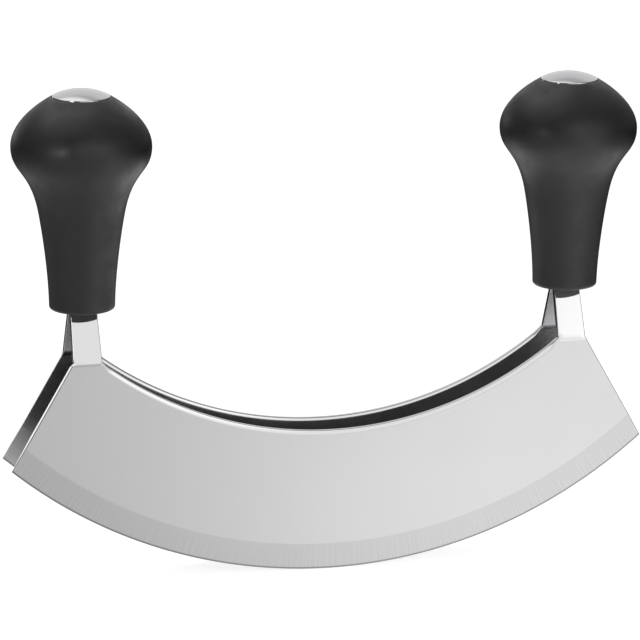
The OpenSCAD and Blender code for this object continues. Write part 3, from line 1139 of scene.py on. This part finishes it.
@dataclass
class Studio:
    """A table with a strip of white paper that rises behind the object, in a dim room with softboxes."""

    floor_span_mm: float = 12000.0
    # Brightness of the room, and of the paper where it rises behind the object up to the wall above it
    room: float = 0.24
    backdrop_top: Slope = Slope(0.60, 0.88, first=0.88, last=0.60)
    # Where the paper ends at its sides and in front, as parts of a direction's unit length
    backdrop_side: Slope = Slope(0.42, 0.13)
    backdrop_spread: float = 0.45
    backdrop_front: Slope = Slope(-0.30, 0.30)
    # The paper on the table: its colour, the painted light that steel sees on it, brighter from left to
    # right like a lamp's pool of light, and that line's slant
    paper_colour: str = "B8B8B8"
    paper_painted_light_mm: Slope = Slope(-165.0, 60.0, first=0.39, last=1.11)
    painted_light_slant: float = 0.35
    # Where it ends at its sides, in front and behind
    paper_side_mm: Slope = Slope(420.0, 200.0)
    paper_spread: float = 0.6
    paper_front_mm: Slope = Slope(-1800.0, -600.0)
    paper_back_mm: Slope = Slope(330.0, 130.0)
    # The bare table behind the paper, as steel sees it, and what lifts the paper to white for the camera
    table_colour: str = "303030"
    camera_glow: float = 0.8
    # A low key at the front right, a tall one in front, a small one close to the left end, a narrow one
    # behind for the rims and a large one overhead
    lamps: tuple[Softbox, ...] = (
        Softbox("key_softbox", azimuth=38, elevation=9, distance_mm=1100, width_mm=900, height_mm=1300,
                fade_mm=300, radiance=0.62),
        Softbox("front_softbox", azimuth=8, elevation=20, distance_mm=1300, width_mm=1700, height_mm=1700,
                fade_mm=500, radiance=1.08),
        Softbox("knob_softbox", azimuth=-48, elevation=10, distance_mm=250, width_mm=110, height_mm=110,
                fade_mm=45, radiance=9.0, aim=(-92.0, -20.0, 148.0)),
        Softbox("rim_softbox", azimuth=204, elevation=7, distance_mm=900, width_mm=220, height_mm=400,
                fade_mm=80, radiance=1.3),
        Softbox("overhead_softbox", azimuth=-125, elevation=70, distance_mm=1200, width_mm=1600,
                height_mm=1600, fade_mm=400, radiance=0.92),
    )
    camera_azimuth: float = 14.8
    camera_elevation: float = 13.554
    camera_roll: float = 0.567
    camera_distance_mm: float = 1248.5
    camera_lens_mm: float = 217.52
    camera_sensor_mm: float = 36.0
    camera_aim: Point3 = (-2.27, 0.0, 81.12)
    camera_reach_m: float = 100.0

    def __post_init__(self) -> None:
        """Works out which way the paper runs: away from the camera."""
        turn = math.radians(self.camera_azimuth)
        self.along = (math.sin(turn), math.cos(turn), 0.0)
        self.across = (math.cos(turn), -math.sin(turn), 0.0)

    def off_and_ahead(self, tree: bpy.types.NodeTree,
                      place: bpy.types.NodeSocket) -> tuple[bpy.types.NodeSocket, bpy.types.NodeSocket]:
        """How far a place lies beside the paper's middle line, and how far along it.

        Args:
            tree: The node tree.
            place: The place, or the direction from the object.

        Returns:
            The distance beside the line, and the distance along it away from the camera.
        """
        across, along = (
            add_node(tree, "ShaderNodeVectorMath", {0: place, 1: axis}, operation="DOT_PRODUCT")
            for axis in (self.across, self.along))
        off = add_node(tree, "ShaderNodeMath", {0: across.outputs["Value"]}, operation="ABSOLUTE")
        return off.outputs["Value"], along.outputs["Value"]

    def build_world(self) -> None:
        """The room: white to the camera, and to the object dim with the white paper behind it."""
        world = bpy.data.worlds.new("white_studio")
        world.use_nodes = True
        tree = world.node_tree
        tree.nodes.clear()
        way = add_node(tree, "ShaderNodeTexCoord").outputs["Generated"]
        height = add_node(tree, "ShaderNodeSeparateXYZ", {"Vector": way}).outputs["Z"]
        off, ahead = self.off_and_ahead(tree, way)
        side = add_node(tree, "ShaderNodeMath", {0: height, 1: -self.backdrop_spread, 2: off},
                        operation="MULTIPLY_ADD")
        behind, beside, before = (
            add_node(tree, "ShaderNodeMapRange", slope.inputs(value), interpolation_type=SOFT)
            for slope, value in ((self.backdrop_top, height), (self.backdrop_side, side),
                                 (self.backdrop_front, ahead)))
        around = add_node(tree, "ShaderNodeMath", {0: beside, 1: before}, operation="MULTIPLY")
        room = add_node(tree, "ShaderNodeMix", {"Factor": around, NUMBER_A: self.room, NUMBER_B: behind})
        camera = add_node(tree, "ShaderNodeLightPath").outputs["Is Camera Ray"]
        level = add_node(tree, "ShaderNodeMath", {0: room, 1: camera}, operation="MAXIMUM")
        light = add_node(tree, "ShaderNodeBackground", {"Color": linear("FFFFFF"), "Strength": level})
        add_node(tree, "ShaderNodeOutputWorld", {"Surface": light})
        bpy.context.scene.world = world

    def build_floor(self) -> None:
        """A pale floor that keeps the object's shadow and glows for the camera and for what mirrors it,
        with painted light for mirrors that grows towards the right.
        """
        half = self.floor_span_mm / 2
        corners = [(-half, -half, 0), (half, -half, 0), (half, half, 0), (-half, half, 0)]
        floor = new_piece("studio_floor", corners, [(0, 1, 2, 3)])
        material = bpy.data.materials.new("matt_white_paper")
        material.use_nodes = True
        tree = material.node_tree
        tree.nodes.clear()
        place = add_node(tree, "ShaderNodeNewGeometry").outputs["Position"]
        parts = add_node(tree, "ShaderNodeSeparateXYZ", {"Vector": place}).outputs
        off, ahead = self.off_and_ahead(tree, place)
        width = add_node(tree, "ShaderNodeMath", {0: ahead, 1: self.paper_spread, 2: off},
                         operation="MULTIPLY_ADD")
        slanted = add_node(tree, "ShaderNodeMath", {0: parts["Y"], 1: self.painted_light_slant, 2: parts["X"]},
                           operation="MULTIPLY_ADD")
        side, front, back, painted_light = (
            add_node(tree, "ShaderNodeMapRange", slope.inputs(value, MM), interpolation_type=SOFT)
            for slope, value in ((self.paper_side_mm, width), (self.paper_front_mm, ahead),
                                 (self.paper_back_mm, ahead), (self.paper_painted_light_mm, slanted)))
        length = add_node(tree, "ShaderNodeMath", {0: front, 1: back}, operation="MULTIPLY")
        strip = add_node(tree, "ShaderNodeMath", {0: side, 1: length}, operation="MULTIPLY")
        # Painted light: the glow that steel sees on the paper grows towards the right, standing in for a
        # lamp's pool of light
        mirrored = add_node(tree, "ShaderNodeMath", {0: painted_light, 1: strip}, operation="MULTIPLY")
        path = add_node(tree, "ShaderNodeLightPath").outputs
        sharp = add_node(tree, "ShaderNodeMath", {0: path["Is Glossy Ray"], 1: path["Is Transmission Ray"]},
                         operation="MAXIMUM")
        beyond = add_node(tree, "ShaderNodeMath", {0: 1.0, 1: back}, operation="SUBTRACT")
        bare = add_node(tree, "ShaderNodeMath", {0: sharp, 1: beyond}, operation="MULTIPLY")
        tint = add_node(tree, "ShaderNodeMix", {
            "Factor": bare,
            COLOUR_A: linear(self.paper_colour),
            COLOUR_B: linear(self.table_colour),
        }, data_type="RGBA")
        paper = add_node(tree, "ShaderNodeBsdfDiffuse", {"Color": tint.outputs[COLOUR_OUT]})
        lift = add_node(tree, "ShaderNodeMath", {0: mirrored, 1: sharp}, operation="MULTIPLY")
        shown = add_node(tree, "ShaderNodeMath", {0: path["Is Camera Ray"], 1: self.camera_glow, 2: lift},
                         operation="MULTIPLY_ADD")
        glow = add_node(tree, "ShaderNodeEmission", {"Strength": shown})
        both = add_node(tree, "ShaderNodeAddShader", {0: paper, 1: glow})
        add_node(tree, "ShaderNodeOutputMaterial", {"Surface": both})
        floor.data.materials.append(material)

    def place_camera(self) -> None:
        """Puts the camera where the photograph was taken from."""
        turn, tilt, roll = (math.radians(a) for a in (self.camera_azimuth, self.camera_elevation,
                                                      self.camera_roll))
        look = Vector((math.sin(turn) * math.cos(tilt), math.cos(turn) * math.cos(tilt), -math.sin(tilt)))
        level = Vector((math.cos(turn), -math.sin(turn), 0))
        upward = level.cross(look)
        right = math.cos(roll) * level + math.sin(roll) * upward
        above = -math.sin(roll) * level + math.cos(roll) * upward
        camera = bpy.data.cameras.new("camera")
        camera.lens = self.camera_lens_mm
        camera.sensor_width = self.camera_sensor_mm
        camera.clip_end = self.camera_reach_m
        stand = bpy.data.objects.new("camera", camera)
        place = (Vector(self.camera_aim) - look * self.camera_distance_mm) * MM
        turned = Matrix((right, above, -look)).transposed().to_4x4()
        stand.matrix_world = Matrix.Translation(place) @ turned
        bpy.context.scene.collection.objects.link(stand)
        bpy.context.scene.camera = stand

    def build(self) -> None:
        """Builds the whole studio."""
        self.build_world()
        self.build_floor()
        for lamp in self.lamps:
            lamp.hang()
        self.place_camera()
        bpy.context.scene.view_settings.view_transform = "Standard"


def main() -> None:
    """Builds the studio and the object."""
    logging.basicConfig(level=logging.INFO, format="%(name)s: %(message)s")
    Studio().build()
    Blade().build("front_blade", 1)
    Blade().build("rear_blade", -1)
    for side in Side:
        handle = Handle(side)
        handle.build_knob()
        handle.build_cap()
        handle.dress_inside()


if __name__ == "__main__":
    main()
